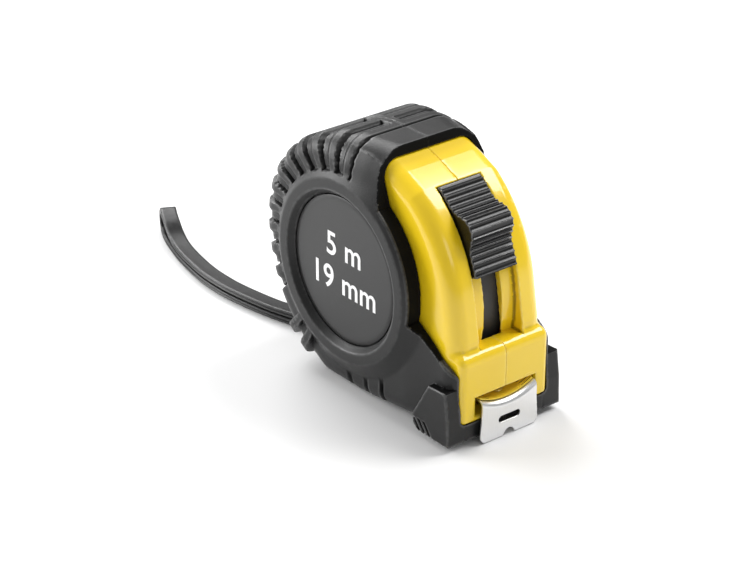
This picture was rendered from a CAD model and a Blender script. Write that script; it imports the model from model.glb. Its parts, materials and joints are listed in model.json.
"""Looks for the 5 m tape measure: moulded rubber covers, glossy case halves, ribbed lock,
steel hook, printed blade and wrist strap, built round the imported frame.

Shapes are drawn in millimetres. Their X is measured from the outlines' datum, which the
reel's axis fixes, and most of them are grown from a field: a function that is negative
inside the piece, zero on its surface and positive outside.
"""
import json
import math

import bpy
import numpy as np
from mathutils import Matrix, Vector

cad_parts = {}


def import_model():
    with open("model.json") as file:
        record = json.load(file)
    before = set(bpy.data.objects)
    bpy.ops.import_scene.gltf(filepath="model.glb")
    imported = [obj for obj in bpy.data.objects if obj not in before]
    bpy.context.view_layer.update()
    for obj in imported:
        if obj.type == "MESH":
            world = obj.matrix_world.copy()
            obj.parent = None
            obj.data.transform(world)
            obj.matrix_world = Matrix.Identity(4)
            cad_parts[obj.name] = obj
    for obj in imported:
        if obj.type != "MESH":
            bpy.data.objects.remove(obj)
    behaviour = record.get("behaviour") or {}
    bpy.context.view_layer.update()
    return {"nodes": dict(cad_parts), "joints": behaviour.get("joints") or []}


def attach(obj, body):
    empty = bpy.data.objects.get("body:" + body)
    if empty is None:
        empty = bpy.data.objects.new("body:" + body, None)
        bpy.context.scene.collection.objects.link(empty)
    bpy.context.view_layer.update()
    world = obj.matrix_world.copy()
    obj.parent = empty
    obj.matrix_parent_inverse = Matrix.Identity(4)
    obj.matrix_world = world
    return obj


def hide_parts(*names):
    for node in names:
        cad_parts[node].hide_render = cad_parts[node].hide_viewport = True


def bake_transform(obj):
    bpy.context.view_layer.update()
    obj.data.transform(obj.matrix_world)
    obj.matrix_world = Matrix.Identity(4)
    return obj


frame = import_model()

MM = 0.001

# ------------------------------ sizes
# the reel's axis, the rubber cover and its side ring, and the disc set in it
REEL_X, REEL_Z = -7.3, 36.4
COVER_RADIUS, COVER_HALF, COVER_CORNER = 37.3, 18.6, 5.0
FRONT_X, FRONT_EDGE_RADIUS = 36.6, 27.6
RING_FACE, RING_OUTER, RING_INNER, RING_LEAN = 21.1, 26.1, 23.0, (0.494, 0.869)
SEAT_FLOOR, SEAT_RADIUS = 18.2, 21.4
DISC_FACE, DISC_THICK = 19.3, 0.8
MARKING_SIZE, MARKING_HEIGHTS = 9.6, (2.8, -7.4)
# the cover's ribs, belly slits, heel bars and corner guard
GRIP_ANGLES = [88 + 11.3 * i for i in range(12)]
GRIP_LEAN, GRIP_INNER, BRIDGE_HALF = 0.42, 27.7, 1.9
SLIT_DEPTH, VALLEY_DEPTH = 1.55, 0.85
BELLY_GROOVES, BELLY_DEPTH, BELLY_TOP = (-6.1, 1.0, 7.8), 1.6, 12
HEEL_BARS, BAR_RISE, BAR_HALF = (229, 239.5), 0.6, 1.5
GUARD_HALF, GUARD_INNER, GUARD_SLOTS = 19.8, 14, (22.5, 24.6, 26.7)
POCKET_FRONT, POCKET_TOP = -20.8, 11.5
# the case halves
SHELL_RADIUS, SHELL_HALF, SHELL_CORNER = 34.5, 15.3, 4.6
WALL, GAP = 2.0, 0.3
SHELF_X, SHELF_Z = 36.7, 26.0
SPINDLE_BOSS, SPINDLE_HOLE, SCREW_BOSS, SCREW_SEAT = 5.0, 3.3, 2.5, 2.9
MOUTH_X, MOUTH_HALF, MOUTH_RISE = 30, 10.5, 2.8
# the curved front, its channel and the lock
ARC_X, ARC_Z, ARC_RADIUS = -8.35, 32.45, 41.4
TRACK_HALF, TRACK_DEPTH, TRACK_TOP = 7.4, 2.0, 53.6
SLOT_HALF, SLOT_TOP = 3.1, 47
BUTTON_HALF, BUTTON_LOW, BUTTON_RISE = 7.1, 17.8, 1.2
HUMP_ANGLE, HUMP_SPREAD, HUMP_RISE = 35.0, 6, 3.75
RIB_PITCH, RIB_DEPTH = 1.85, 0.55
STRIP_OUTER, STRIP_THICK, STRIP_HALF = 37.2, 1.0, 5
# the blade, its hook and rivets
BLADE_WIDTH, BLADE_CUP, BLADE_THICK, BLADE_Z = 19.0, 2.4, 0.3, 10.9
HOOK_FRONT, HOOK_REAR, HOOK_THICK, HOOK_BEND = 38.5, 25.5, 0.6, 1.3
HOOK_FOOT, FOOT_CORNER = 0.15, 2.2
NAIL_SLOT_Z, NAIL_SLOT_HALF, NAIL_SLOT_RADIUS, NOTCH_RADIUS = 5.4, 2.8, 0.95, 1.9
RIVET_X, RIVET_HEAD, RIVET_SHANK = (33.2, 28.2), 1.7, 1.0
# the screws, the strap's pin and the strap
SCREW_ANGLES, SCREW_RADIUS = (60, 136, 205, 325), 31.0
SCREW_HEAD, SCREW_HEAD_LOW, SCREW_TIP, CROSS_HALF, CROSS_REACH = 2.5, 13.7, -9.5, 0.32, 1.4
PIN_X, PIN_Z, PIN_RADIUS, PIN_HALF = -24.2, 8.0, 1.1, 7.4
STRAP_WIDTH, STRAP_THICK, STRAP_LOW, STRAP_HIGH = 5.0, 1.7, 0.95, 3.2
# the grids that the pieces are grown on
COVER_STEP, SHELL_STEP, BUTTON_STEP, STRIP_STEP, PAD_STEP = 0.38, 0.42, 0.22, 0.33, 0.25
HOOK_STEP, RIVET_STEP, SCREW_STEP = 0.2, 0.16, 0.17

reel_axis = [j for j in frame["joints"] if j["name"] == "reel_spin"][0]["pos_m"]
DATUM_X = reel_axis[0] / MM - REEL_X


def world(x, y, z):
    """A point in millimetres from the datum, in the frame's metres."""
    return Vector(((x + DATUM_X) * MM, y * MM, z * MM))


def put(name, data):
    """An object in the scene, made from its mesh, lettering, lamp or camera."""
    obj = bpy.data.objects.new(name, data)
    bpy.context.scene.collection.objects.link(obj)
    return obj


def aim(obj, direction):
    """Turn a camera or a lamp to look along a direction."""
    obj.rotation_mode = "QUATERNION"
    obj.rotation_quaternion = direction.to_track_quat("-Z", "Y")


# ------------------------------ camera
CAMERA_LENS = 115.2
CAMERA_TARGET = (-14.99, 0, 22.59)
CAMERA_DISTANCE = 663.4
CAMERA_AZIMUTH, CAMERA_ELEVATION = 51.2, 27.1


def make_camera():
    """A long lens from the front right, a little above the object."""
    data = bpy.data.cameras.new("camera")
    data.lens = CAMERA_LENS
    data.sensor_width = 36
    camera = put("camera", data)
    a, e = math.radians(CAMERA_AZIMUTH), math.radians(CAMERA_ELEVATION)
    back = Vector((math.sin(a) * math.cos(e), -math.cos(a) * math.cos(e), math.sin(e)))
    camera.location = (Vector(CAMERA_TARGET) + back * CAMERA_DISTANCE) * MM
    aim(camera, -back)
    bpy.context.scene.camera = camera


# ------------------------------ fields
def ramp(value, start, end):
    """0 before `start`, 1 after `end`, smooth between; `end` may be the lower one."""
    t = np.clip((value - start) / (end - start), 0, 1)
    return t * t * (3 - 2 * t)


def join(a, b, fillet):
    """Both solids as one, with a fillet where they meet."""
    h = np.maximum(fillet - np.abs(a - b), 0) / fillet
    return np.minimum(a, b) - h * h * fillet / 4


def meet(a, b, round_off):
    """What both solids share, with its edges rounded off."""
    return -join(-a, -b, round_off)


def cut(a, b, round_off):
    """The first solid without the second."""
    return meet(a, -b, round_off)


def plate(flat, y, half, corner):
    """An outline's plate from -half to half in Y, with its rims rounded."""
    a, b = flat + corner, np.abs(y) - half + corner
    rim = np.hypot(np.maximum(a, 0), np.maximum(b, 0))
    return np.minimum(np.maximum(a, b), 0) + rim - corner


def prism(flat, y, low, high):
    """An outline's plate from `low` to `high` in Y, with sharp rims."""
    return np.maximum(flat, np.maximum(low - y, y - high))


def rod(x, y, z, place, radius, low, high):
    """A round bar along Y, standing at `place` in X and Z."""
    return prism(np.hypot(x - place[0], z - place[1]) - radius, y, low, high)


def outline(points):
    """The signed distance to a closed outline, as a function of X and Z."""
    corners = [tuple(map(float, p)) for p in points]

    def distance(x, z):
        x, z = np.broadcast_arrays(x, z)
        nearest = np.full(x.shape, 1e9)
        inside = np.zeros(x.shape, bool)
        for (ax, az), (bx, bz) in zip(corners, corners[1:] + corners[:1]):
            ex, ez = bx - ax, bz - az
            px, pz = x - ax, z - az
            t = np.clip((px * ex + pz * ez) / (ex * ex + ez * ez), 0, 1)
            nearest = np.minimum(nearest, (px - ex * t) ** 2 + (pz - ez * t) ** 2)
            if ez:
                inside ^= ((az > z) != (bz > z)) & (px < ex * pz / ez)
        return np.where(inside, -1, 1) * np.sqrt(nearest)

    return distance


def arc(cx, cz, radius, start, end, step=3.0):
    """Points round a circle, `step` degrees apart or a little less."""
    count = max(2, math.ceil(abs(end - start) / step))
    angles = [math.radians(start + (end - start) * i / count) for i in range(count + 1)]
    return [(cx + radius * math.cos(a), cz + radius * math.sin(a)) for a in angles]


def around_reel(x, z):
    """Distance from the reel's axis, and the angle round it in degrees."""
    angle = np.degrees(np.arctan2(z - REEL_Z, x - REEL_X)) % 360
    return np.hypot(x - REEL_X, z - REEL_Z), angle


def around_arc(x, z):
    """Distance from the front arc's centre, and the angle round it in degrees."""
    return np.hypot(x - ARC_X, z - ARC_Z), np.degrees(np.arctan2(z - ARC_Z, x - ARC_X))


# ------------------------------ meshes
SHARP_ANGLE = 48
PULL_TO_MIDDLE = 0.08
SLOPE_REACH = 0.02


def along(axis, first, second, third):
    """An index for an array, with `first` on `axis` and the others on the axes after it."""
    index = [None, None, None]
    index[axis], index[(axis + 1) % 3], index[(axis + 2) % 3] = first, second, third
    return tuple(index)


def crossings(value, axis):
    """The grid edges along `axis` that the surface crosses, and the cells round each."""
    near = value[along(axis, slice(0, -1), slice(None), slice(None))]
    far = value[along(axis, slice(1, None), slice(None), slice(None))]
    crossing = (near < 0) != (far < 0)
    near, far = near[crossing], far[crossing]
    place = np.argwhere(crossing)
    step = np.eye(3, dtype=int)
    second, third = step[(axis + 1) % 3], step[(axis + 2) % 3]
    ring = [place - second - third, place - third, place, place - second]
    ring = np.stack([np.ravel_multi_index(cell.T, value.shape) for cell in ring], 1)
    ring = np.where((near < 0)[:, None], ring, ring[:, ::-1])
    return place + (near / (near - far))[:, None] * step[axis], ring


def slope(field, points):
    """Unit directions in which a field grows, at points on its surface."""
    base = field(*points.T)
    grown = [field(*(points + SLOPE_REACH * axis).T) - base for axis in np.eye(3)]
    grown = np.stack(grown, 1)
    return grown / np.maximum(np.linalg.norm(grown, axis=1), 1e-9)[:, None]


def grow(field, low, high, step):
    """Points and quads of the closed surface where a field is zero, with its edges kept crisp."""
    axes = [np.arange(a, b + step, step) for a, b in zip(low, high)]
    x, y, z = np.meshgrid(*axes, indexing="ij", sparse=True)
    shape = tuple(len(a) for a in axes)
    value = np.ascontiguousarray(np.broadcast_to(field(x, y, z), shape), np.float32)
    value[value == 0] = 1e-6
    spots, rings = zip(*(crossings(value, axis) for axis in range(3)))
    start = np.array([a[0] for a in axes])
    points = start + np.concatenate(spots) * step
    cells, number = np.unique(np.concatenate(rings), return_inverse=True)
    number = number.reshape(-1, 4)
    normals = slope(field, points)

    def total(values):
        return np.bincount(number.ravel(), np.repeat(values, 4), len(cells))

    middle = np.stack([total(points[:, k]) for k in range(3)], 1)
    middle = middle / total(np.ones(len(points)))[:, None]
    reach = (normals * points).sum(1)
    pull = np.stack([total(normals[:, i] * reach) for i in range(3)], 1)
    spread_of = [[total(normals[:, i] * normals[:, j]) for j in range(3)] for i in range(3)]
    planes = np.moveaxis(np.array(spread_of), 2, 0)
    pull = pull - (planes @ middle[:, :, None])[:, :, 0]
    shift = np.linalg.solve(planes + PULL_TO_MIDDLE * np.eye(3), pull[:, :, None])[:, :, 0]
    corner = start + np.stack(np.unravel_index(cells, shape), 1) * step
    return np.clip(middle + shift, corner, corner + step), number


def make_object(name, points, faces, body, node, finish, side=1):
    """A mesh object from points in millimetres, riding on a body in place of a CAD node."""
    points = np.array(points, float)
    faces = [list(f) for f in faces]
    if side < 0:
        points = points * (1, -1, 1)
        faces = [f[::-1] for f in faces]
    points = (points + (DATUM_X, 0, 0)) * MM
    mesh = bpy.data.meshes.new(name)
    mesh.from_pydata(points.tolist(), [], faces)
    mesh.validate()
    mesh.materials.append(finish)
    mesh.set_sharp_from_angle(angle=math.radians(SHARP_ANGLE))
    obj = put(name, mesh)
    if body:
        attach(obj, body)
    if node:
        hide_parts(node)
    return obj


def bridge(rings, closed=True):
    """Quads between rows of points, each row round a loop."""
    width = len(rings[0])
    faces = []
    for r in range(len(rings) - (not closed)):
        low, high = r * width, ((r + 1) % len(rings)) * width
        for i in range(width):
            j = (i + 1) % width
            faces.append((low + i, low + j, high + j, high + i))
    return [p for ring in rings for p in ring], faces


def lathe(profile, segments, place=(REEL_X, REEL_Z)):
    """Turn a (radius, Y) profile, given clockwise, about an axis along Y, and close both ends."""
    rings = []
    for r, y in profile:
        turn = [2 * math.pi * i / segments for i in range(segments)]
        rings.append([(place[0] + r * math.cos(a), y, place[1] + r * math.sin(a)) for a in turn])
    points, faces = bridge(rings, closed=False)
    faces.append(list(range(segments))[::-1])
    faces.append(list(range(len(points) - segments, len(points))))
    return points, faces


# ------------------------------ outlines
cover_flat = outline(
    arc(REEL_X, REEL_Z, COVER_RADIUS, 90, 246)
    + [(-19.5, 0.6), (-17.5, 0), (-4, 0), (4, 0.6), (12, 1.7), (20, 2.5), (24, 2.5), (FRONT_X, 1.7),
       (FRONT_X, 48), (14, REEL_Z + COVER_RADIUS)])
open_front_flat = outline(
    [(60, 20.5), (36.2, 20.5)] + arc(REEL_X, REEL_Z, FRONT_EDGE_RADIUS, -11, 57)
    + [(5.2, 66.7), (4.6, 69.7), (3.4, 75.7), (3.4, 90), (60, 90)])
shell_flat = outline(
    arc(REEL_X, REEL_Z, SHELL_RADIUS, 92, 244)
    + [(-17, 4.5), (30, 4.5), (33.4, 5.2), (34.3, 6.3), (34.3, 28.7)]
    + arc(ARC_X, ARC_Z, ARC_RADIUS, 8.5, 54, 1.2) + [(9.2, 68.9), (3.4, REEL_Z + SHELL_RADIUS)])
shelf_flat = outline(
    [(20, 6.0), (SHELF_X - 1.2, 6.0), (SHELF_X, 7.2), (SHELF_X, SHELF_Z - 2.6),
     (SHELF_X - 0.3, SHELF_Z - 1.4), (SHELF_X - 1.1, SHELF_Z - 0.5), (SHELF_X - 2.2, SHELF_Z), (20, SHELF_Z)])
cavity_flat = outline(
    arc(REEL_X, REEL_Z, SHELL_RADIUS - WALL, 92, 211)
    + [(-9.4, 6.6), (31.5, 6.6), (31.5, 15.2), (30.3, 16.7), (30.3, 28.7)]
    + arc(ARC_X, ARC_Z, ARC_RADIUS - 3.9, 8.5, 53) + [(3.4, 68.3)])
bumper_flat = outline(
    [(24.5, 1.7), (FRONT_X, 1.7), (36.3, 9.7), (35.2, 17.4), (28.4, 17.0), (22, 6.1), (22.4, 3.3)])


# ------------------------------ rubber covers
def grip_depth(out, angle, y):
    """How far the rubber's surface lies below its crests: a shallow valley, a slit, a step up."""
    depth = 0.0
    lean = GRIP_LEAN * (COVER_RADIUS - out)
    for groove in GRIP_ANGLES:
        past = np.radians(angle + lean - groove) * COVER_RADIUS
        full = SLIT_DEPTH * ramp(past, -1.1, -0.7) * ramp(past, 0.1, -0.2)
        if groove != GRIP_ANGLES[0]:
            valley = VALLEY_DEPTH * ramp(past, -4.9, -2.7) * ramp(past, 0.15, -0.35)
            full = np.maximum(full, valley)
        if groove in GRIP_ANGLES[1:3]:
            full = full * ramp(y, BRIDGE_HALF - 0.2, BRIDGE_HALF + 0.2)
        depth = np.maximum(depth, full)
    return depth * ramp(out, GRIP_INNER, GRIP_INNER + 0.4)


def belly_depth(x, y, z):
    """Three slits low on the side that run on under the belly's edge."""
    depth = 0.0
    for middle in BELLY_GROOVES:
        across = np.abs(x - middle)
        depth = np.maximum(depth, BELLY_DEPTH * ramp(across, 0.95, 0.6))
    return depth * ramp(z, BELLY_TOP, BELLY_TOP - 1) * ramp(y, 10, 11)


def heel_bars(x, y, z, flat, angle):
    """Two bars across the lower rear corner, wrapped over onto the side."""
    bars = 1e3
    raised = plate(flat - BAR_RISE, y, COVER_HALF + 3 * BAR_RISE, 5.0)
    for middle in HEEL_BARS:
        across = np.abs(np.radians(angle - middle)) * COVER_RADIUS - BAR_HALF
        bars = np.minimum(bars, meet(raised, across, 0.35))
    return np.maximum(bars, 20 - np.hypot(x - REEL_X, z - REEL_Z))


def bumper(x, y, z):
    """The corner guard beside the nose, with three short slots at its lower rear."""
    guard = meet(plate(bumper_flat(x, z), y, GUARD_HALF, 0.45), GUARD_INNER - y, 0.1)
    for start in GUARD_SLOTS:
        slant = np.abs((x - start) * 0.79 + (z - 5.4) * 0.61) - 0.42
        groove = np.maximum(np.maximum(slant, z - 5.4), GUARD_HALF - 1.2 - y)
        guard = cut(guard, np.maximum(groove, x - start - 5), 0.25)
    return guard


def side_ring(y, out):
    """The raised ring on the side, with its outer face sloping down to the grip."""
    cone = (out - RING_OUTER) * RING_LEAN[0] + (y - RING_FACE) * RING_LEAN[1]
    ring = meet(y - RING_FACE, cone, 0.25)
    return np.maximum(ring, 16 - y)


def shell_outer(x, y, z):
    """The outside of the two case halves: the round body and the nose with its shelf."""
    body = plate(shell_flat(x, z), y, SHELL_HALF, SHELL_CORNER)
    shelf = plate(shelf_flat(x, z), y, SHELL_HALF - 0.1, 2.0)
    return join(body, shelf, 1.6)


def screw_places():
    """X and Z of each screw round the reel."""
    for angle in SCREW_ANGLES:
        a = math.radians(angle)
        yield REEL_X + SCREW_RADIUS * math.cos(a), REEL_Z + SCREW_RADIUS * math.sin(a)


def strap_pocket(x, y, z, side):
    """The opening at the heel that the strap comes out of, wider on the right side."""
    half = 3.4 if side > 0 else 5.4
    return np.maximum(np.maximum(x - POCKET_FRONT, y - half), z - POCKET_TOP)


def side_form(x, z):
    """Half width and rim rounding of the cover: fullest round the ring, slimmer and softer
    towards the top front, flatter beside the nose."""
    half = COVER_HALF + 1.2 * ramp(z, 28, 60)
    half = half - 2.6 * ramp(x, -8, 7) * ramp(z, 44, 62) - 1.0 * ramp(x, 16, 30)
    return half, COVER_CORNER + 4.6 * ramp(x, -26, -8) * ramp(z, 44, 60)


def cover_field(side):
    """One rubber cover, with Y measured outwards from the seam."""
    def field(x, y, z):
        out, angle = around_reel(x, z)
        flat = cover_flat(x, z)
        half, corner = side_form(x, z)
        body = plate(flat, y, half, corner) + belly_depth(x, y, z)
        blunt = 0.3 + 1.3 * ramp(x, -7, 1) * ramp(z, 50, 60)
        body = join(body, side_ring(y, out), blunt)
        body = body + grip_depth(out, angle, y)
        body = join(body, heel_bars(x, y, z, flat, angle), 0.3)
        body = cut(body, open_front_flat(x, z), 0.3)
        body = join(body, bumper(x, y, z), 0.3)
        seat = np.maximum(SEAT_RADIUS, RING_INNER - (RING_FACE - y) * 0.89)
        body = cut(body, np.maximum((out - seat) * 0.8, SEAT_FLOOR - y), 0.3)
        body = cut(body, shell_outer(x, y, z) - GAP, 0.25)
        body = cut(body, strap_pocket(x, y, z, side), 0.5)
        if side > 0:
            for place in screw_places():
                body = cut(body, rod(x, y, z, place, SCREW_SEAT, 14, 30), 0.4)
        return meet(body, 0.03 - y, 0.12)
    return field


def make_covers(finish, lip_finish):
    for name, side in (("right", -1), ("left", 1)):
        points, faces = grow(cover_field(side), (-49, -0.5, -1), (38, 22, 75), COVER_STEP)
        obj = make_object(name + "_cover_moulding", points, faces, "case", name + "_grip_cover",
                          finish, side)
        obj.data.materials.append(lip_finish)
        lip = lip_mask(*points.T)[faces].mean(1) > 0.5
        obj.data.polygons.foreach_set("material_index", lip.astype(np.int32))


def lip_mask(x, y, z):
    """Where the cover is darker: the wall of its front edge and the top of the corner guard."""
    wall = (np.abs(open_front_flat(x, z)) < 0.3) & (y < 19.5) & (x - z * 0.2 < 25.5)
    top = (np.abs(bumper_flat(x, z)) < 0.3) & (z > 16.7) & (x > 27) & (y < 19.6)
    return wall | top


# ------------------------------ case halves
def track(x, y, z):
    """The channel that the button slides in, from near the top down to the shelf."""
    out, angle = around_arc(x, z)
    channel = np.maximum(ARC_RADIUS - TRACK_DEPTH - out, np.abs(y) - TRACK_HALF)
    end = (angle - TRACK_TOP) * math.radians(1) * ARC_RADIUS
    return np.maximum(np.maximum(channel, SHELF_Z - z), np.maximum(end, 10 - x))


def strip_slot(x, y, z):
    """The opening in the channel's floor for the strip."""
    out, angle = around_arc(x, z)
    ring = np.abs(out - ARC_RADIUS + TRACK_DEPTH) - 6
    end = (angle - SLOT_TOP) * math.radians(1) * ARC_RADIUS
    return np.maximum(np.maximum(ring, np.abs(y) - SLOT_HALF), np.maximum(end, SHELF_Z - z))


def shell_field(side):
    """One case half, with its bosses inside, with Y measured outwards from the seam."""
    def field(x, y, z):
        body = shell_outer(x, y, z)
        body = cut(body, np.maximum(cavity_flat(x, z), y - SHELL_HALF + WALL), 0.5)
        inner = SHELL_HALF - WALL + 0.5
        body = join(body, rod(x, y, z, (REEL_X, REEL_Z), SPINDLE_BOSS, 11.7, inner), 0.4)
        for place in screw_places():
            body = join(body, rod(x, y, z, place, SCREW_BOSS, 0.05, inner), 0.3)
        body = cut(body, track(x, y, z), 0.5)
        body = cut(body, strip_slot(x, y, z), 0.3)
        mouth = np.maximum(np.abs(z - BLADE_Z) - MOUTH_RISE, np.maximum(y - MOUTH_HALF, MOUTH_X - x))
        body = cut(body, mouth, 0.5)
        body = cut(body, strap_pocket(x, y, z, side), 0.4)
        body = cut(body, rod(x, y, z, (PIN_X, PIN_Z), PIN_RADIUS + GAP, -1, 7.8), 0.2)
        body = cut(body, rod(x, y, z, (REEL_X, REEL_Z), SPINDLE_HOLE, 10, 14.2), 0.2)
        for place in screw_places():
            if side > 0:
                body = cut(body, rod(x, y, z, place, 1.7, -0.5, 14), 0.2)
                body = cut(body, rod(x, y, z, place, SCREW_SEAT, 13.4, 30), 0.2)
            else:
                body = cut(body, rod(x, y, z, place, 1.5, -0.5, 11), 0.2)
        return meet(body, 0.04 - y, 0.3)
    return field


def make_shells(finish):
    for name, side in (("right", -1), ("left", 1)):
        points, faces = grow(shell_field(side), (-43, -0.5, 2), (38, 16, 73), SHELL_STEP)
        make_object(name + "_case_half", points, faces, "case", name + "_shell",
                    finish, side)


# ------------------------------ lock
def button_rise(angle):
    """The thumb face's radius: a low saddle with a wide hump below its middle."""
    along_face = (angle - HUMP_ANGLE) / HUMP_SPREAD
    hump = HUMP_RISE * np.exp(-np.abs(along_face) ** 3)
    return ARC_RADIUS + BUTTON_RISE - 0.3 * np.tanh(along_face) + hump


def button_travel():
    """Angle and distance along the thumb face, to space the ribs evenly over it."""
    angles = np.linspace(BUTTON_LOW, TRACK_TOP, 400)
    rise = button_rise(angles)
    steps = np.hypot(np.diff(rise), np.radians(np.diff(angles)) * rise[1:])
    return angles, np.concatenate([[0], np.cumsum(steps)])


def button_field(x, y, z):
    """The ribbed thumb button, with the stem below it that goes through the slot."""
    out, angle = around_arc(x, z)
    angles, travel = button_travel()
    distance = np.interp(angle, angles, travel)
    ribs = RIB_DEPTH * np.abs(np.sin(math.pi * distance / RIB_PITCH)) ** 0.7
    rise = button_rise(angle)
    climb = (button_rise(angle + 0.1) - rise) / (math.radians(0.1) * rise)
    body = (out - rise) / np.hypot(1, climb) + ribs
    base = ARC_RADIUS - TRACK_DEPTH + GAP
    body = meet(body, base - out, 0.2)
    ends = np.maximum(BUTTON_LOW - angle, angle - TRACK_TOP + 0.5) * math.radians(1) * ARC_RADIUS
    body = meet(body, ends, 0.35)
    body = meet(body, np.abs(y) - BUTTON_HALF, 0.35)
    stem = np.maximum(np.abs(out - 39.2) - 1.7, np.abs(y) - SLOT_HALF + GAP)
    stem = np.maximum(stem, (np.abs(angle - 29.5) - 6.5) * math.radians(1) * ARC_RADIUS)
    return join(body, stem, 0.2)


def band_field(inner, outer, start, end, half):
    """A curved strip about the front arc's centre."""
    def field(x, y, z):
        out, angle = around_arc(x, z)
        ring = meet(inner - out, out - outer, 0.1)
        ends = np.maximum(start - angle, angle - end) * math.radians(1) * outer
        return meet(meet(ring, ends, 0.3), np.abs(y) - half, 0.2)
    return field


def make_lock(button_finish, strip_finish, pad_finish):
    points, faces = grow(button_field, (10, -8, 40), (39, 8, 72), BUTTON_STEP)
    make_object("lock_thumb_button", points, faces, "lock", "lock_button",
                button_finish)
    strip = band_field(STRIP_OUTER - STRIP_THICK, STRIP_OUTER, -18, 48, STRIP_HALF)
    points, faces = grow(strip, (15, -5.6, 20), (30, 5.6, 62), STRIP_STEP)
    make_object("lock_slide_strip", points, faces, "lock", "lock_strip",
                strip_finish)
    pad = band_field(STRIP_OUTER - 2 * STRIP_THICK, STRIP_OUTER + 0.3, -22, -18.6, STRIP_HALF)
    points, faces = grow(pad, (22, -5.6, 16), (29, 5.6, 23), PAD_STEP)
    make_object("lock_brake_pad", points, faces, "lock", "brake_pad", pad_finish)


# ------------------------------ blade and hook
def cup(y):
    """Height of the blade's middle surface at `y`; its edges stand up."""
    half = BLADE_WIDTH / 2
    radius = (half * half + BLADE_CUP * BLADE_CUP) / (2 * BLADE_CUP)
    return BLADE_Z + radius - np.sqrt(radius * radius - np.minimum(y * y, half * half))


def make_blade(finish):
    """The stretch from the coil to the hook; it follows the hook out and keeps its cup."""
    across, lengthwise = 24, 160
    start, end, cupped = REEL_X + 3, 37.0, 12.0
    half = BLADE_WIDTH / 2
    rings = []
    for i in range(lengthwise + 1):
        x = start + (end - start) * i / lengthwise
        share = min(1.0, (x - start) / cupped)
        tip = 0.35 * max(0.0, x - end + 1.2)
        ys = [(half - tip) * (2 * k / across - 1) for k in range(across + 1)]
        top = [(x, y, BLADE_Z + (cup(y) - BLADE_Z) * share + BLADE_THICK / 2) for y in ys]
        low = [(x, y, z - BLADE_THICK) for x, y, z in reversed(top)]
        rings.append(top + low)
    points, faces = bridge(rings, closed=False)
    width = len(rings[0])
    for row in (0, lengthwise):
        ends = [(row * width + k, row * width + k + 1, row * width + width - 2 - k,
                 row * width + width - 1 - k) for k in range(across)]
        faces += ends if row else [e[::-1] for e in ends]
    faces = [f[::-1] for f in faces]
    obj = make_object("printed_blade", points, faces, None, "blade_lead", finish)
    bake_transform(obj)


def hook_field(x, y, z):
    """Tongue under the blade, a bend, and the plate with its slot and notch."""
    mid_x = HOOK_FRONT - HOOK_THICK / 2
    top = cup(y) - BLADE_THICK / 2 - GAP - HOOK_THICK / 2
    past_x, past_z = x - mid_x + HOOK_BEND, z - top + HOOK_BEND
    round_part = np.hypot(np.maximum(past_x, 0), np.maximum(past_z, 0)) - HOOK_BEND
    corner = (x > mid_x - HOOK_BEND) & (z > top - HOOK_BEND)
    bent = np.where(corner, round_part, np.maximum(x - mid_x, z - top))
    sheet = np.abs(bent) - HOOK_THICK / 2
    sheet = np.where((x < mid_x - HOOK_BEND) & (z < top - 1.5), 5.0, sheet)
    reach = BLADE_WIDTH / 2 * (1 + 0.06 * ramp(z, 10, 0))
    turn = np.maximum(np.abs(y) - reach + FOOT_CORNER, 0) / FOOT_CORNER
    foot = HOOK_FOOT + FOOT_CORNER * (1 - np.sqrt(np.clip(1 - turn ** 2, 0, 1)))
    sheet = meet(sheet, np.abs(y) - reach, 0.15)
    sheet = meet(sheet, foot - z, 0.15)
    sheet = meet(sheet, HOOK_REAR - x, 0.15)
    nail_slot = np.hypot(np.maximum(np.abs(y) - NAIL_SLOT_HALF, 0), z - NAIL_SLOT_Z) - NAIL_SLOT_RADIUS
    notch = np.hypot(y, z) - NOTCH_RADIUS
    holes = np.minimum(nail_slot, notch)
    sheet = cut(sheet, np.maximum(holes, 36.5 - x), 0.18)
    for rivet in RIVET_X:
        window = np.maximum(np.abs(x - rivet + 0.65) - 1.95, np.abs(y) - 1.3)
        sheet = cut(sheet, np.maximum(window, x - 35), 0.1)
    return sheet


def make_hook(finish):
    points, faces = grow(hook_field, (25, -10.5, -0.4), (39, 10.5, 14), HOOK_STEP)
    make_object("steel_end_hook", points, faces, "hook", "end_hook", finish)


def rivet_field(place):
    """A rivet with a domed head on each side of the blade and the hook's tongue."""
    top = BLADE_Z + BLADE_THICK / 2 + GAP
    low = BLADE_Z - BLADE_THICK / 2 - 2 * GAP - HOOK_THICK
    middle, half = (top + low) / 2, (top - low) / 2

    def field(x, y, z):
        out = np.hypot(x - place, y)
        past = np.abs(z - middle) - half
        head = meet(np.hypot(out, past + 2.4) - 2.9, -past, 0.1)
        head = meet(head, out - RIVET_HEAD, 0.2)
        return np.minimum(head, np.maximum(out - RIVET_SHANK, past - 0.1))
    return field


def make_rivets(finish):
    for name, place in zip(("front", "rear"), RIVET_X):
        low, high = (place - 2.2, -2.2, 8.5), (place + 2.2, 2.2, 12.5)
        points, faces = grow(rivet_field(place), low, high, RIVET_STEP)
        make_object("hook_rivet_dome_" + name, points, faces, "blade", "hook_rivet_" + name,
                    finish)


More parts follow.
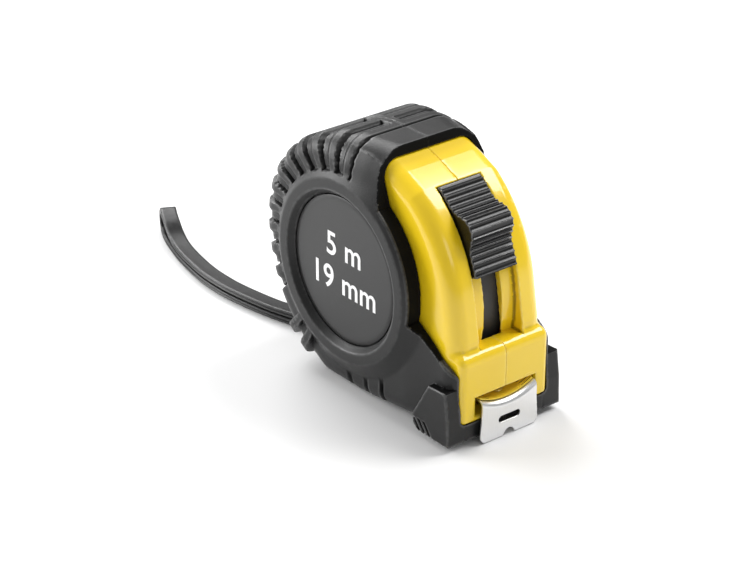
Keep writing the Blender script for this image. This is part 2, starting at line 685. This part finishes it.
# ------------------------------ discs, screws and pin
def make_discs(finish, ink):
    """A flat disc with a softened edge on each side, with rings close enough for even shading."""
    face, edge = DISC_FACE, SEAT_RADIUS - GAP
    back = face - DISC_THICK
    profile = [(0.4 + 1.2 * i, back) for i in range(17)] + [(edge - 0.1, back), (edge, back + 0.1)]
    profile += [(edge, face - 0.3), (edge - 0.05, face - 0.12), (edge - 0.2, face)]
    profile += [(19.6 - 1.2 * i, face) for i in range(17)]
    for name, side in (("right", -1), ("left", 1)):
        points, faces = lathe(profile, 120)
        make_object(name + "_badge_plate", points, faces, "case", name + "_badge_disc",
                    finish, side)
        make_marking(name, side, ink)


def make_marking(name, side, ink):
    """The printed size on the disc: blade length over blade width."""
    for row, (text, height) in enumerate(zip(("5 m", "19 mm"), MARKING_HEIGHTS)):
        data = bpy.data.curves.new("marking", "FONT")
        data.body = text
        data.size = MARKING_SIZE
        data.offset = 0.12
        data.space_character = 1.04
        data.align_x = "CENTER"
        data.extrude = 0.03
        letters = put("letters", data)
        bpy.context.view_layer.update()
        shown = letters.evaluated_get(bpy.context.evaluated_depsgraph_get())
        mesh = bpy.data.meshes.new_from_object(shown)
        bpy.data.objects.remove(letters)
        upright = Matrix.Rotation(math.radians(90), 4, "X")
        turned = Matrix.Rotation(math.radians(180 if side > 0 else 0), 4, "Z")
        lift = DISC_FACE + 0.035
        place = Vector((REEL_X + DATUM_X, side * lift, REEL_Z + height))
        mesh.transform(Matrix.Scale(MM, 4) @ Matrix.Translation(place) @ turned @ upright)
        mesh.materials.clear()
        mesh.materials.append(ink)
        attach(put("%s_size_marking_%d" % (name, row + 1), mesh), "case")


def screw_field(x, y, z):
    """A pan-head screw along Y with a cross recess and a threaded shank."""
    out = np.hypot(x, z)
    thread = 1.2 - 0.22 * (0.5 + 0.5 * np.cos(2 * math.pi * y - np.arctan2(z, x)))
    shank = np.maximum(out - thread, np.maximum(SCREW_TIP - y, y - SCREW_HEAD_LOW - 0.1))
    head = meet(np.hypot(out, y - 11.2) - 4.05, SCREW_HEAD_LOW - y, 0.1)
    head = meet(head, out - SCREW_HEAD, 0.25)
    cross = np.minimum(np.maximum(np.abs(x) - CROSS_HALF, np.abs(z) - CROSS_REACH),
                       np.maximum(np.abs(z) - CROSS_HALF, np.abs(x) - CROSS_REACH))
    head = cut(head, np.maximum(cross, 14.35 - y), 0.1)
    return join(shank, head, 0.1)


def make_screws(finish):
    points, faces = grow(screw_field, (-2.8, -9.8, -2.8), (2.8, 15.5, 2.8), SCREW_STEP)
    for i, (x, z) in enumerate(screw_places(), 1):
        make_object("case_screw_head_%d" % i, points + (x, 0, z), faces, "case",
                    "case_screw_%d" % i, finish)


def make_pin(finish):
    end = [(PIN_RADIUS, PIN_HALF - 0.3), (1.0, PIN_HALF - 0.1), (0.8, PIN_HALF), (0.4, PIN_HALF)]
    profile = [(r, -y) for r, y in reversed(end)] + end
    points, faces = lathe(profile, 32, (PIN_X, PIN_Z))
    make_object("strap_cross_pin", points, faces, "case", "strap_pin", finish)


# ------------------------------ strap
STRAP_PLAN = [(-24.2, 0), (-30, -0.5), (-36, -2.2), (-41, -4.4), (-46, -6.2), (-56.5, -8.9),
              (-69, -10.8), (-77.5, -11.1), (-84.5, -10.7), (-93, -9.3), (-102, -7.2), (-113, -3.6),
              (-121, 0.3)]


def smooth_points(points, per_span):
    """Points on a Catmull-Rom curve through `points`."""
    pts = [Vector(points[0]) * 2 - Vector(points[1])] + [Vector(p) for p in points]
    pts.append(pts[-1] * 2 - pts[-2])
    result = []
    for i in range(1, len(pts) - 2):
        a, b, c, d = pts[i - 1:i + 3]
        for k in range(per_span):
            t = k / per_span
            result.append(0.5 * (2 * b + (c - a) * t + (2 * a - 5 * b + 4 * c - d) * t * t
                                 + (3 * b - a - 3 * c + d) * t ** 3))
    result.append(pts[-2])
    return result


def strap_profile(length):
    """(distance, height) round the loop: out along the floor, back on top, round the pin."""
    pin, tip = 2.25, 3.3
    end = length - tip
    up = PIN_Z - pin
    points = [(0, up), (5, up - 0.9), (10, STRAP_LOW + 1.0), (15, STRAP_LOW + 0.1)]
    points += [(x, STRAP_LOW) for x in range(20, int(end) - 6, 5)]
    centre = STRAP_LOW + tip
    points += [(end + tip * math.sin(a), centre - tip * math.cos(a))
               for a in (math.radians(22.5 * k) for k in range(9))]
    points += [(end - 6, centre + 2.2), (end - 11, STRAP_HIGH + 1.2), (end - 16, STRAP_HIGH + 0.2)]
    points += [(x, STRAP_HIGH) for x in range(int(end) - 22, 26, -5)]
    points += [(19, STRAP_HIGH + 0.4), (13, STRAP_HIGH + 2.2), (6, PIN_Z + pin - 0.7), (0, PIN_Z + pin)]
    points += [(-pin * math.sin(a), PIN_Z + pin * math.cos(a))
               for a in (math.radians(30 * k) for k in range(1, 6))]
    return points


def plan_point(plan, lengths, s):
    """The place and heading `s` millimetres along the strap's plan."""
    i = 0
    while i < len(lengths) - 2 and lengths[i + 1] < s:
        i += 1
    heading = (plan[i + 1] - plan[i]).normalized()
    return plan[i] + heading * (s - lengths[i]), heading


def strap_section():
    """Half-width and half-thickness shares round the strap, with a groove along each edge."""
    w, t = STRAP_WIDTH / 2, STRAP_THICK / 2
    quarter = [(w - 0.45, 0.0), (w - 0.4, 0.12), (w - 0.08, 0.26), (w, 0.42), (w - 0.08, t - 0.16),
               (w - 0.3, t)]
    top = quarter + [(w - 0.8, t - 0.02), (0.8, t - 0.1), (-0.8, t - 0.1), (0.8 - w, t - 0.02)]
    top += [(-a, b) for a, b in reversed(quarter)]
    low = [(-a, -b) for a, b in quarter[1:]] + [(0.8 - w, 0.02 - t), (w - 0.8, 0.02 - t)]
    return top + low + [(a, -b) for a, b in reversed(quarter[1:])]


def make_strap(finish):
    """One closed loop of grooved strip, laid along its plan."""
    plan = smooth_points(STRAP_PLAN, 8)
    lengths = [0.0]
    for p, q in zip(plan, plan[1:]):
        lengths.append(lengths[-1] + (q - p).length)
    corners = strap_profile(lengths[-1])
    loop = smooth_points([(x, z, 0) for x, z in corners + corners[:1]], 3)[:-1]
    section = strap_section()
    rings, centres = [], []
    for i, (s, z, _) in enumerate(loop):
        before, after = loop[i - 1], loop[(i + 1) % len(loop)]
        run = Vector((after[0] - before[0], after[1] - before[1])).normalized()
        place, heading = plan_point(plan, lengths, s)
        across = Vector((-heading.y, heading.x, 0))
        normal = Vector((heading.x * -run.y, heading.y * -run.y, run.x))
        middle = Vector((place.x, place.y, z))
        rings.append([middle + across * a + normal * b for a, b in section])
        centres.append(world(*middle))
    points, faces = bridge(rings)
    strap = make_object("wrist_strap_loop", points, faces, "case", "wrist_strap",
                        finish)


# ------------------------------ shader groups
def feed(tree, value, socket):
    """Link a socket to an input, or set a plain value on it."""
    if isinstance(value, bpy.types.NodeSocket):
        tree.links.new(value, socket)
    else:
        socket.default_value = value


def add(tree, kind, settings=None, **inputs):
    """A shader node. An input is a socket to link from or a plain value, and is named by its
    label, or by its number after an underscore."""
    made = tree.nodes.new("ShaderNode" + kind)
    for key, value in (settings or {}).items():
        setattr(made, key, value)
    for key, value in inputs.items():
        feed(tree, value, made.inputs[int(key[1:]) if key[0] == "_" else key.replace("_", " ")])
    return made


def maths(tree, operation, a, b=0.0, c=0.0):
    return add(tree, "Math", {"operation": operation}, _0=a, _1=b, _2=c).outputs[0]


def spread(tree, value, low, high, to_low=0.0, to_high=1.0):
    made = add(tree, "MapRange", {"clamp": True}, Value=value, From_Min=low, From_Max=high,
               To_Min=to_low, To_Max=to_high)
    return made.outputs["Result"]


def blend_colour(tree, share, first, second):
    return add(tree, "Mix", {"data_type": "RGBA"}, _0=share, _6=first, _7=second).outputs[2]


def new_group(name, inputs, outputs):
    """An empty shader group whose sockets are all plain numbers."""
    tree = bpy.data.node_groups.new(name, "ShaderNodeTree")
    for label, default in inputs:
        socket = tree.interface.new_socket(label, in_out="INPUT", socket_type="NodeSocketFloat")
        socket.default_value = default
    for label in outputs:
        tree.interface.new_socket(label, in_out="OUTPUT", socket_type="NodeSocketFloat")
    return tree, tree.nodes.new("NodeGroupInput"), tree.nodes.new("NodeGroupOutput")


def noise(tree, scale, detail=2.0, rough=0.5, stretch=None):
    """Noise over the piece's own place in millimetres, drawn out along one axis if asked."""
    place = add(tree, "TexCoord").outputs["Object"]
    factors = [1000.0 / s for s in stretch] if stretch else [1000.0] * 3
    moved = add(tree, "Mapping", Vector=place)
    moved.inputs["Scale"].default_value = factors
    made = add(tree, "TexNoise", Vector=moved.outputs[0], Scale=scale, Detail=detail, Roughness=rough)
    return made.outputs["Fac"]


def make_grain_group():
    """Moulded skin: a fine height for the bump and a broad tone for colour."""
    tree, start, end = new_group("moulded_grain", [("Fineness", 1.0), ("Depth", 0.05)],
                                 ["Height", "Tone"])
    fine = noise(tree, start.outputs["Fineness"], 3.0, 0.6)
    tree.links.new(maths(tree, "MULTIPLY", fine, start.outputs["Depth"]), end.inputs["Height"])
    tree.links.new(spread(tree, noise(tree, 0.06, 3.0), 0.3, 0.7), end.inputs["Tone"])
    return tree


def make_wear_group():
    """Rubbed edges: high where the surface turns outwards, broken up by noise."""
    tree, start, end = new_group("edge_wear", [("Amount", 1.0), ("Sharpness", 0.035)],
                                 ["Rubbed", "Hollow"])
    turn = add(tree, "NewGeometry").outputs["Pointiness"]
    out = maths(tree, "DIVIDE", maths(tree, "SUBTRACT", turn, 0.5), start.outputs["Sharpness"])
    broken = spread(tree, noise(tree, 0.7, 3.0), 0.3, 0.65, 0.45, 1.0)
    rubbed = maths(tree, "MULTIPLY", maths(tree, "MULTIPLY", out, broken), start.outputs["Amount"])
    tree.links.new(spread(tree, rubbed, 0.15, 1.0), end.inputs["Rubbed"])
    tree.links.new(spread(tree, maths(tree, "MULTIPLY", out, -1.0), 0.15, 1.0), end.inputs["Hollow"])
    return tree


def make_dust_group():
    """Fine dust that settles where a surface faces up."""
    tree, start, end = new_group("settled_dust", [("Amount", 0.1)], ["Mask"])
    up = add(tree, "SeparateXYZ", _0=add(tree, "NewGeometry").outputs["Normal"]).outputs["Z"]
    specks = spread(tree, noise(tree, 1.6, 4.0, 0.7), 0.45, 0.75)
    lying = maths(tree, "MULTIPLY", spread(tree, up, 0.1, 1.0), specks)
    tree.links.new(maths(tree, "MULTIPLY", lying, start.outputs["Amount"]), end.inputs["Mask"])
    return tree


def make_brush_group():
    """Drawn metal: streaks along the roll direction for height and roughness."""
    tree, start, end = new_group("drawn_streaks", [("Depth", 0.02)], ["Height", "Streak"])
    streaks = noise(tree, 1.0, 4.0, 0.6, stretch=(6.0, 0.12, 6.0))
    tree.links.new(maths(tree, "MULTIPLY", streaks, start.outputs["Depth"]), end.inputs["Height"])
    tree.links.new(streaks, end.inputs["Streak"])
    return tree


def use(tree, group, **values):
    """A shader group placed in a material, with its own values."""
    made = tree.nodes.new("ShaderNodeGroup")
    made.node_tree = group
    for key, value in values.items():
        made.inputs[key].default_value = value
    return made.outputs


def new_material(name, **constants):
    """A material with its Principled shader's constant values set on its own sockets."""
    mat = bpy.data.materials.new(name)
    mat.use_nodes = True
    shader = mat.node_tree.nodes["Principled BSDF"]
    for key, value in constants.items():
        shader.inputs[key.replace("_", " ")].default_value = value
    return mat, mat.node_tree, shader


def finish_with(tree, shader, colour, roughness, height):
    """Feed a shader its colour, its roughness and a bump from a height in millimetres."""
    bump = add(tree, "Bump", Height=height, Strength=1.0, Distance=MM)
    tree.links.new(colour, shader.inputs["Base Color"])
    tree.links.new(roughness, shader.inputs["Roughness"])
    tree.links.new(bump.outputs["Normal"], shader.inputs["Normal"])


def grey(value, warm=0.0):
    return (value * (1 + warm), value, value * (1 - warm), 1.0)


# ------------------------------ materials
GROUPS = {"grain": make_grain_group(), "wear": make_wear_group(), "dust": make_dust_group(),
          "brush": make_brush_group()}


def moulded(name, dark, light, rubbed, rough, depth, fineness, wear, dust, **constants):
    """A moulded surface: two tones, grain, rubbed edges and settled dust."""
    mat, tree, shader = new_material(name, **constants)
    grain = use(tree, GROUPS["grain"], Fineness=fineness, Depth=depth)
    edges = use(tree, GROUPS["wear"], Amount=wear)
    colour = blend_colour(tree, grain["Tone"], dark, light)
    colour = blend_colour(tree, edges["Rubbed"], colour, rubbed)
    hollow = tuple(v * 0.45 for v in dark[:3]) + (1.0,)
    colour = blend_colour(tree, edges["Hollow"], colour, hollow)
    settled = use(tree, GROUPS["dust"], Amount=dust)
    colour = blend_colour(tree, settled["Mask"], colour, grey(0.45, 0.03))
    varied = spread(tree, grain["Tone"], 0.0, 1.0, rough - 0.04, rough + 0.04)
    worn = maths(tree, "SUBTRACT", varied, maths(tree, "MULTIPLY", edges["Rubbed"], 0.12))
    finish_with(tree, shader, colour, worn, grain["Height"])
    return mat


def steel(name, dark, light, rough, depth):
    """Drawn or plated steel with streaks and dulled hollows."""
    mat, tree, shader = new_material(name, Metallic=1.0)
    streak = use(tree, GROUPS["brush"], Depth=depth)
    edges = use(tree, GROUPS["wear"], Amount=0.8)
    colour = blend_colour(tree, streak["Streak"], dark, light)
    colour = blend_colour(tree, edges["Hollow"], colour, grey(0.12))
    varied = spread(tree, streak["Streak"], 0.3, 0.7, rough - 0.05, rough + 0.06)
    finish_with(tree, shader, colour, varied, streak["Height"])
    return mat


def tick_rows(tree, along_blade, side):
    """Printed lines: one a millimetre, longer at five and at ten."""
    marks = None
    for pitch, reach, thick in ((1.0, 5.6, 0.10), (5.0, 4.2, 0.11), (10.0, 1.5, 0.13)):
        phase = maths(tree, "FRACT", maths(tree, "DIVIDE", along_blade, pitch))
        near = maths(tree, "MINIMUM", phase, maths(tree, "SUBTRACT", 1.0, phase))
        line = maths(tree, "LESS_THAN", near, thick / pitch)
        mark = maths(tree, "MULTIPLY", line, maths(tree, "GREATER_THAN", side, reach))
        marks = mark if marks is None else maths(tree, "MAXIMUM", marks, mark)
    return marks


def blade_paint():
    """Yellow lacquer with black graduations on the cupped side and red tens of centimetres."""
    mat, tree, shader = new_material("blade_lacquer", Coat_Weight=0.3, Coat_Roughness=0.15)
    place = add(tree, "SeparateXYZ", _0=add(tree, "TexCoord").outputs["Object"])
    zero = (HOOK_FRONT + DATUM_X) * MM
    distance = maths(tree, "MULTIPLY", maths(tree, "SUBTRACT", place.outputs["X"], zero), 1000.0)
    side = maths(tree, "ABSOLUTE", maths(tree, "MULTIPLY", place.outputs["Y"], 1000.0))
    up = add(tree, "SeparateXYZ", _0=add(tree, "NewGeometry").outputs["Normal"]).outputs["Z"]
    cupped = maths(tree, "GREATER_THAN", up, 0.3)
    marks = maths(tree, "MULTIPLY", tick_rows(tree, distance, side), cupped)
    grain = use(tree, GROUPS["grain"], Fineness=2.0, Depth=0.004)
    colour = blend_colour(tree, grain["Tone"], (0.88, 0.60, 0.03, 1), (0.93, 0.68, 0.05, 1))
    tens = maths(tree, "FRACT", maths(tree, "DIVIDE", distance, 100.0))
    band = maths(tree, "LESS_THAN", tens, 0.04)
    band = maths(tree, "MULTIPLY", band, maths(tree, "LESS_THAN", side, 1.2))
    band = maths(tree, "MULTIPLY", band, cupped)
    colour = blend_colour(tree, band, colour, (0.55, 0.02, 0.02, 1))
    colour = blend_colour(tree, marks, colour, grey(0.015))
    finish_with(tree, shader, colour, spread(tree, grain["Tone"], 0.0, 1.0, 0.28, 0.36), grain["Height"])
    return mat


def coil_paint():
    """The wound blade: its layers show as fine rings on both sides of the coil."""
    mat, tree, shader = new_material("wound_blade", Coat_Weight=0.2)
    place = add(tree, "SeparateXYZ", _0=add(tree, "TexCoord").outputs["Object"])
    x = maths(tree, "SUBTRACT", place.outputs["X"], reel_axis[0])
    z = maths(tree, "SUBTRACT", place.outputs["Z"], reel_axis[2])
    squares = maths(tree, "ADD", maths(tree, "MULTIPLY", x, x), maths(tree, "MULTIPLY", z, z))
    out = maths(tree, "SQRT", squares)
    layer = maths(tree, "FRACT", maths(tree, "DIVIDE", out, 0.00026))
    line = spread(tree, layer, 0.0, 0.35)
    grain = use(tree, GROUPS["grain"], Fineness=2.0, Depth=0.01)
    colour = blend_colour(tree, line, (0.10, 0.07, 0.01, 1), (0.86, 0.60, 0.04, 1))
    colour = blend_colour(tree, grain["Tone"], colour, (0.80, 0.56, 0.05, 1))
    rough = spread(tree, line, 0.0, 1.0, 0.6, 0.35)
    finish_with(tree, shader, colour, rough, maths(tree, "MULTIPLY", line, 0.05))
    return mat


def make_finishes():
    """Every finish on the object, by the name that the pieces ask for."""
    return {
        "cover": moulded("grip_rubber_skin", grey(0.013), grey(0.017), grey(0.08), rough=0.38,
                         depth=0.05, fineness=2.6, wear=1.0, dust=0.03, Specular_IOR_Level=0.31),
        "lip": moulded("grip_rubber_lip", grey(0.005), grey(0.007), grey(0.02), rough=0.6,
                       depth=0.05, fineness=2.6, wear=0.4, dust=0.0, Specular_IOR_Level=0.06),
        "case": moulded("case_yellow_gloss", (0.925, 0.630, 0.010, 1), (0.950, 0.665, 0.014, 1),
                        (0.95, 0.72, 0.10, 1), rough=0.24, depth=0.003, fineness=0.5, wear=0.5, dust=0.0,
                        Coat_Weight=0.6, Coat_Roughness=0.06),
        "disc": moulded("badge_satin", grey(0.018), grey(0.023), grey(0.14), rough=0.36,
                        depth=0.02, fineness=4.0, wear=1.0, dust=0.02, Specular_IOR_Level=0.45),
        "button": moulded("button_black", grey(0.004), grey(0.006), grey(0.14), rough=0.26,
                          depth=0.02, fineness=3.0, wear=1.0, dust=0.02, Specular_IOR_Level=0.4),
        "strip": moulded("strip_black", grey(0.035), grey(0.045), grey(0.08), rough=0.5,
                         depth=0.02, fineness=2.0, wear=0.5, dust=0.02),
        "pad": moulded("brake_felt", grey(0.05), grey(0.08), grey(0.1), rough=0.85,
                       depth=0.15, fineness=3.0, wear=0.5, dust=0.0),
        "strap": moulded("strap_pvc", grey(0.006), grey(0.009), grey(0.06), rough=0.34,
                         depth=0.03, fineness=2.2, wear=0.9, dust=0.01, Specular_IOR_Level=0.24),
        "reel": moulded("reel_black", grey(0.05), grey(0.07), grey(0.12), rough=0.42,
                        depth=0.02, fineness=1.5, wear=0.8, dust=0.0),
        "ink": moulded("marking_ink", grey(0.86), grey(0.90), grey(0.92), rough=0.5,
                       depth=0.01, fineness=3.0, wear=0.2, dust=0.0),
        "hook": steel("hook_satin_steel", grey(0.76), grey(0.88), rough=0.34, depth=0.012),
        "plated": steel("plated_steel", grey(0.32), grey(0.46), rough=0.34, depth=0.01),
        "spring": steel("blued_spring_steel", (0.16, 0.18, 0.22, 1), (0.30, 0.31, 0.34, 1),
                        rough=0.36, depth=0.02),
        "blade": blade_paint(),
        "coil": coil_paint(),
    }


# ------------------------------ studio
AIR_STRENGTH = 0.32
LAMP_AIM = 0.035


def make_floor():
    """A wide pale sheet, a hair below what stands on it."""
    mesh = bpy.data.meshes.new("floor")
    reach, drop = 40, 0.05 * MM
    corners = [(-reach, -reach, 0), (reach, -reach, 0), (reach, reach, 0), (-reach, reach, 0)]
    mesh.from_pydata(corners, [], [(0, 1, 2, 3)])
    mat = new_material("pale_floor", Base_Color=grey(0.84), Roughness=0.7, Specular_IOR_Level=0.2)[0]
    mesh.materials.append(mat)
    floor = put("floor", mesh)
    floor.location.z = -drop


def softbox(name, place, side, power):
    """A large square lamp, placed in metres, that faces the middle of the object."""
    data = bpy.data.lights.new(name, "AREA")
    data.shape = "SQUARE"
    data.size = side
    data.energy = power
    lamp = put(name, data)
    lamp.location = place
    aim(lamp, Vector((0, 0, LAMP_AIM)) - Vector(place))
    lamp.visible_camera = False


def make_studio():
    make_floor()
    air = bpy.data.worlds.new("studio_air")
    air.use_nodes = True
    background = air.node_tree.nodes["Background"]
    background.inputs["Color"].default_value = grey(1.0)
    background.inputs["Strength"].default_value = AIR_STRENGTH
    bpy.context.scene.world = air
    softbox("back_softbox", (0.12, 0.46, 0.66), side=0.46, power=5.4)
    softbox("top_left_softbox", (-0.60, 0.12, 0.58), side=0.5, power=5.6)
    softbox("left_softbox", (-0.68, -0.52, 0.34), side=0.5, power=7.0)
    softbox("front_softbox", (0.80, -0.10, 0.45), side=0.3, power=0.5)
    bpy.context.scene.view_settings.view_transform = "Standard"


# ------------------------------ build
def dress_inner_pieces(finishes):
    """The pieces inside the case keep their own shape and take a better finish."""
    inner = {"spindle": "plated", "reel_drum": "reel", "reel_cover": "reel", "power_spring": "spring",
             "blade_coil": "coil"}
    for node, finish in inner.items():
        obj = frame["nodes"][node]
        obj.data.materials.clear()
        obj.data.materials.append(finishes[finish])


make_camera()
finishes = make_finishes()
make_strap(finishes["strap"])
make_covers(finishes["cover"], finishes["lip"])
make_shells(finishes["case"])
make_lock(finishes["button"], finishes["strip"], finishes["pad"])
make_blade(finishes["blade"])
make_hook(finishes["hook"])
make_rivets(finishes["hook"])
make_discs(finishes["disc"], finishes["ink"])
make_screws(finishes["plated"])
make_pin(finishes["plated"])
dress_inner_pieces(finishes)
make_studio()
